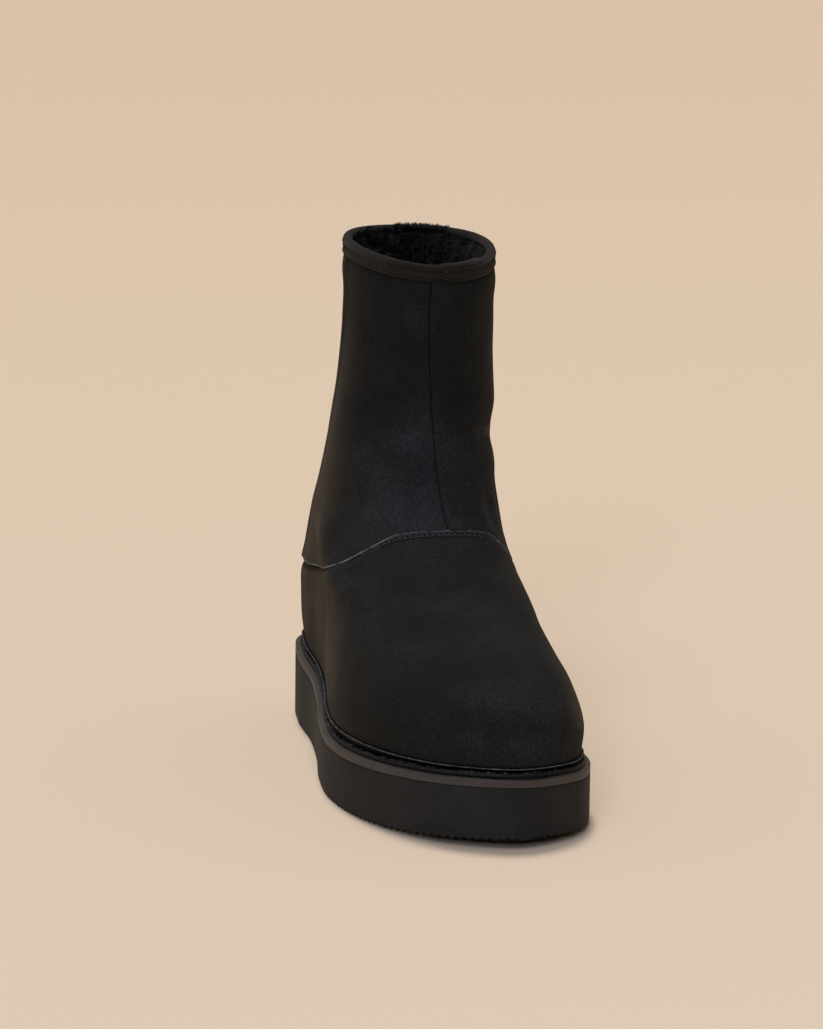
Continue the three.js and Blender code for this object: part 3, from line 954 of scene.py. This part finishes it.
def fleece_locks(name, roots, ways, length, per_lock=6, spread=1.5):
    """Locks of wool as one mesh: thin three-sided tapering fibres drawn together at their tips."""
    points, faces = [], []
    turns = [(math.cos(t), math.sin(t)) for t in (0, 2 * math.pi / 3, 4 * math.pi / 3)]
    for root, out in zip(roots, ways):
        across = np.cross(out, (0.3, 0.5, 0.81))
        across /= np.linalg.norm(across)
        other = np.cross(out, across)
        lean = random.uniform(0, 2 * math.pi)
        lean_way = across * math.cos(lean) + other * math.sin(lean)
        bend_way = across * math.cos(lean + 1.6) + other * math.sin(lean + 1.6)
        tip = (out * random.uniform(0.6, 1.1) + lean_way * random.uniform(0.2, 0.7)) * length
        bend = bend_way * length * random.uniform(-0.4, 0.4)
        for _ in range(per_lock):
            angle, reach = random.uniform(0, 2 * math.pi), spread * math.sqrt(random.random())
            start = root + (across * math.cos(angle) + other * math.sin(angle)) * reach
            end = root + tip + (start - root) * 0.35 + out * random.uniform(-0.5, 0.5)
            width = random.uniform(0.1, 0.17)
            base = len(points)
            for f in (0, 0.55, 1):
                middle = start + (end - start) * f + bend * math.sin(math.pi * f * 0.9)
                points += [middle + (across * c + other * s) * width * (1 - 0.7 * f) for c, s in turns]
            for low in (base, base + 3):
                ring = [(low + k, low + (k + 1) % 3) for k in range(3)]
                faces += [(a, b, b + 3, a + 3) for a, b in ring]
            faces += [(base + 2, base + 1, base), (base + 6, base + 7, base + 8)]
    return joined_mesh(name, points, faces)


def inside_places(count, low_row, high_row):
    around = np.array([random.random() for _ in range(count)])
    row = np.array([random.uniform(low_row, high_row) for _ in range(count)])
    inward = -way_out(around, row)
    return on_last(around, row) + inward * (wall_at(row) - 1.0)[:, None], inward


roots, ways = inside_places(COLLAR_LOCKS, 9.0, 9.97)
collar_locks = fleece_locks("fleece_at_collar", roots, ways, 5.4, per_lock=9, spread=1.2)
fitted(collar_locks, black_fleece, "upper")

# Behind, some of it stands up over the rim.
around = np.array([random.uniform(0.87, 1.0) for _ in range(RIM_LOCKS)])
outward = way_out(around, 0 * around + RIM)
inset = np.array([random.uniform(1.2, 4.4) for _ in around])
roots = on_last(around, 0 * around + RIM) - outward * inset[:, None]
roots = roots + UP * (0.7 - 0.3 * inset[:, None])
rim_locks = fleece_locks("fleece_over_rim", roots, UP * 0.7 + outward * 0.3, 2.3, spread=1.2)
fitted(rim_locks, black_fleece, "upper")

roots, ways = inside_places(SHAFT_LOCKS, 5.0, 9.1)
shaft_locks = fleece_locks("fleece_in_shaft", roots, ways, 4.5, per_lock=4, spread=2.0)
fitted(shaft_locks, black_fleece, "upper")

# ---------------- insole
# A sheepskin sock on a board, dropped into the well inside the welt, fleece side up.

INSOLE_THICKNESS = 7.0
INSOLE_INSET = SOLE_LEDGE + WALL + 1.0
INSOLE_LOCKS = 1100

insole_plan = sole_plan(INSOLE_INSET)
around, _ = even_around(260, insole_plan)
insole_rows = []
for width in (0, 0.5, 1.0):
    x, y = sole_point(around, insole_plan, width)
    insole_rows.append(np.stack([x, y, midsole_top(y) + GAP], -1))
for width in np.linspace(1, 0, 40):
    x, y = sole_point(around, insole_plan, width)
    flat = np.stack([x, y, midsole_top(y) + GAP + INSOLE_THICKNESS - 1.6], -1)
    flat[:, 2] += curls(flat) - BED_SINK * (width > 0.99)
    insole_rows.append(flat)
insole = laid_grid("insole_fleece", insole_rows)
fitted(insole, black_fleece, "insole", replaces=True)

roots = []
for _ in range(INSOLE_LOCKS):
    x, y = sole_point(np.array([random.random()]), insole_plan, 0.97 * math.sqrt(random.random()))
    roots.append(np.array([x[0], y[0], midsole_top(y[0]) + GAP + INSOLE_THICKNESS - BED_SINK]))
insole_locks = fleece_locks("fleece_on_insole", roots, [UP] * len(roots), 4.0, per_lock=4, spread=1.8)
fitted(insole_locks, black_fleece, "insole")

# ---------------- collar binding
# A ribbed woven tape folded over the rim and sewn through above its lower edge, where the
# stitching pulls it in. Its ends overlap just beside the front seam.

TAPE = 0.8
TAPE_DROP = 6.2
TAPE_JOIN = 0.505
TAPE_OVERLAP = 0.09
RIB_SPACING = 0.9
COURSE_SPACING = 1.1
TAPE_STITCH = 0.8
TAPE_STITCH_SIZE = (2.6, 0.42)
TAPE_STITCH_DROP = 3.6
LAP_RISE = 0.9  # how much the outer end stands over the inner one

# Cotton grosgrain, brown-black: dull, with fine ribs across it and a faint sheen.
woven_tape, tree, surface = new_material(
    "ribbed_woven_tape", Roughness=0.82, Specular_IOR_Level=0.2, Sheen_Weight=0.06, Sheen_Roughness=0.4
)
# The map is in millimetres, and a wave texture has a band every 2 pi / 20 at scale 1.
weave_map = add_node(tree, "TexCoord").outputs["UV"]
band = 2 * math.pi / 20
rib_shape = {"Vector": weave_map, "Scale": band / RIB_SPACING, "Distortion": 0.5, "Detail": 1}
ribs = add_node(tree, "TexWave", {"bands_direction": "X"}, rib_shape)
course_shape = {"Vector": weave_map, "Scale": band / COURSE_SPACING, "Distortion": 0.3}
courses = add_node(tree, "TexWave", {"bands_direction": "Y"}, course_shape)
mix = {0: courses.outputs["Fac"], 1: 0.5, 2: ribs.outputs["Fac"]}
weave = add_node(tree, "Math", {"operation": "MULTIPLY_ADD"}, mix)
place = add_node(tree, "TexCoord").outputs["Object"]
tone = add_node(tree, "TexNoise", inputs={"Vector": place, "Scale": 120, "Detail": 3})
mix = {0: weave, 1: 0.3, 2: tone}
mixed = add_node(tree, "Math", {"operation": "MULTIPLY_ADD"}, mix)
shades = [(0.45, "#0e0b09"), (1.0, "#241d18")]
add_node(tree, "ValToRGB", {"ramp": shades}, {"Fac": mixed}, surface["Base Color"])
skin = {"Height": weave, "Strength": 0.6, "Distance": 0.0003}
add_node(tree, "Bump", inputs=skin, into=surface["Normal"])

# Spun cotton thread, a shade lighter than the tape.
brown_thread, tree, surface = new_material("matt_brown_thread", Roughness=0.75, Specular_IOR_Level=0.3)
surface["Base Color"].default_value = linear("#2b2621")

# The tape's section as (below the rim, out of the skin, above it): up its outer leaf, over the
# roll, down inside, and back along its hidden face.
outer, inner = GAP + TAPE, -RIM_WALL - GAP - TAPE
tape_section = [
    (TAPE_DROP - 0.2, 0.1, 0),
    (TAPE_DROP, outer - 0.4, 0),
    (TAPE_DROP - 0.2, outer - 0.05, 0),
    (TAPE_DROP - 0.6, outer + 0.15, 0),
    (TAPE_DROP - 1.1, outer - 0.15, 0),
    (TAPE_DROP - 2.3, outer - 0.25, 0),
    (TAPE_DROP - 3.7, outer - 0.25, 0),
    (TAPE_DROP - 4.0, outer - 0.1, 0),
    (TAPE_DROP - 4.3, outer + 0.25, 0),
]
middle, half = (outer + inner) / 2, (outer - inner) / 2
for turn in np.radians(np.linspace(0, 180, 11)):
    rolled = 1.5 * (1 - math.sin(turn)), middle + half * math.cos(turn), outer * math.sin(turn)
    tape_section.append(rolled)
tape_section += [(1.8, inner, 0), (2.2, inner + 0.1, 0), (2.3, inner + 0.4, 0)]
tape_section += [(1.6, -RIM_WALL - 0.1, 0), (0, -RIM_WALL + 0.2, 0.1), (0, 0.05, 0.1), (3, 0.1, 0)]
tape_section.append(tape_section[0])
places = TAPE_JOIN + np.linspace(0, 1 + TAPE_OVERLAP, 520)
lapped = LAP_RISE * eased(np.clip((places - TAPE_JOIN - 1 + 0.03) / 0.03, 0, 1))
side_rise = on_last(places, np.full_like(places, RIM)) - on_last(places, np.full_like(places, RIM - 0.1))
rows_per_mm = 0.1 / np.linalg.norm(side_rise, axis=-1)
tape_rows = []
for down, out, rise in tape_section:
    row = RIM - (down - LAP_RISE * lapped * (down > 5.4)) * rows_per_mm
    reach = out + np.where(out > middle, 1, -1) * lapped * (1.0 if rise or abs(out) > 0.5 else 0.3)
    height = rise + LAP_RISE * lapped * (rise > 0.3)
    tape_rows.append(on_last(places, row) + way_out(places, row) * reach[:, None] + UP * height[:, None])
tape = laid_grid("collar_tape", tape_rows)
bpy.ops.object.mode_set(mode="EDIT")
bpy.ops.mesh.select_all(action="SELECT")
bpy.ops.mesh.fill_holes(sides=0)
bpy.ops.object.mode_set(mode="OBJECT")
fitted(tape, woven_tape, "collar_binding", replaces=True)

# Both leaves are sewn through with a close zigzag in thread of the tape's colour.
def tape_stitch_row(around):
    return RIM - TAPE_STITCH_DROP * np.interp(around, places % 1, rows_per_mm, period=1)


_, line, outward = round_line(tape_stitch_row, TAPE_STITCH, 2.5)
line = np.array([tape.closest_point_on_mesh(Vector(p) * MM)[1] / MM for p in line])
zigzag = []
for k in range(len(line)):
    along, _ = turned_along(line, k, outward[k], (-70 if k % 2 else 70) + random.uniform(-6, 6))
    middle = line[k] + 0.05 * outward[k]
    zigzag.append((middle, along, np.cross(outward[k], along), outward[k], TAPE_STITCH_SIZE))
tape_stitches = laid_stitches("collar_tape_stitches", zigzag, sides=6)
fitted(tape_stitches, brown_thread, "collar_binding")

# A bar tack holds the outer end of the tape at the join.
join = TAPE_JOIN - 0.005
tack = []
for k in range(7):
    root = on_last(join - 0.002 + 0.0006 * (k % 2), tape_stitch_row(join) + 0.03 * (k - 3) / 3)
    out = way_out(join, tape_stitch_row(join))
    root = np.array(tape.closest_point_on_mesh(Vector(root + 4 * out) * MM)[1]) / MM
    ahead = np.cross(UP, out)
    tack.append((root + 0.1 * out, ahead, UP, out, (1.5, 0.5)))
bar_tack = laid_stitches("collar_bar_tack", tack, sides=6)
fitted(bar_tack, brown_thread, "collar_binding")

# ---------------- studio
# A wide pale floor under plain soft light: bright air all round, a broad key lamp nearly overhead,
# and two weaker fills in front.

# Matt painted board, warm beige, with painted shade: a little deeper in tone toward the back, where less
# light reaches.
painted_board, tree, surface = new_material("painted_beige_board", Roughness=0.9, Specular_IOR_Level=0.2)
place = add_node(tree, "TexCoord").outputs["Object"]
back = add_node(tree, "SeparateXYZ", inputs={"Vector": place}).outputs["Y"]
far = add_node(tree, "MapRange", inputs={"Value": back, "From Min": -0.5, "From Max": 4.5})
shades = [(0.0, "#e9d5be"), (0.25, "#e9d3b9"), (1.0, "#e6cdb0")]
add_node(tree, "ValToRGB", {"ramp": shades}, {"Fac": far}, surface["Base Color"])
bpy.ops.object.select_all(action="DESELECT")
bpy.ops.mesh.primitive_plane_add(size=80)
floor = bpy.context.object
floor.name = "floor"
floor.data.materials.append(painted_board)

# White light, strongest from above and behind, with the beige of the backdrop low down.
world = bpy.data.worlds.new("studio_air")
bpy.context.scene.world = world
world.use_nodes = True
tree = world.node_tree
way = add_node(tree, "TexCoord").outputs["Generated"]
height = add_node(tree, "SeparateXYZ", inputs={"Vector": way}).outputs["Z"]
air = tree.nodes["Background"].inputs
tints = [(0.15, "#e9be92"), (0.55, "#ffffff")]
add_node(tree, "ValToRGB", {"ramp": tints}, {"Fac": height}, air["Color"])
key_way = {0: way, 1: (0.02, 0.8, 0.6)}
toward_key = add_node(tree, "VectorMath", {"operation": "DOT_PRODUCT"}, key_way).outputs["Value"]
strength = {"Value": toward_key, "From Min": -0.75, "From Max": 0.9, "To Min": 0.04, "To Max": 0.33}
add_node(tree, "MapRange", inputs=strength, into=air["Strength"])

# The lamps stand far off, so each is a direction with its strength, its spread and its colour.
for name, pitch, yaw, energy, angle, colour in (
    ("overhead_key", -13, 0, 1.55, 12, "#fffaf4"),
    ("front_fill", 36, -34, 0.63, 36, "#eaf0ff"),
    ("low_front_fill", 66, -26, 0.62, 14, "#dfe8ff"),
):
    bpy.ops.object.light_add(type="SUN", rotation=(math.radians(pitch), 0, math.radians(yaw)))
    light = bpy.context.object
    light.name = name
    light.data.energy = energy
    light.data.color = linear(colour)[:3]
    light.data.angle = math.radians(angle)
bpy.context.scene.view_settings.view_transform = "Standard"

# The camera stands in front, a little to the outer side and above, with a long lens.
turn, tilt, roll = math.radians(-14.57), math.radians(90 - 10.61), math.radians(0.75)
look = Matrix.Rotation(turn, 4, "Z") @ Matrix.Rotation(tilt, 4, "X") @ Matrix.Rotation(roll, 4, "Z")
aim = Vector((-0.03434, -0.11164, 0.13983))
CAMERA_DISTANCE = 1.5
bpy.ops.object.camera_add()
camera = bpy.context.object
camera.name = "camera"
camera.matrix_world = Matrix.Translation(aim + look.to_3x3() @ Vector((0, 0, CAMERA_DISTANCE))) @ look
camera.data.lens = 125
camera.data.sensor_width = 36
bpy.context.scene.camera = camera
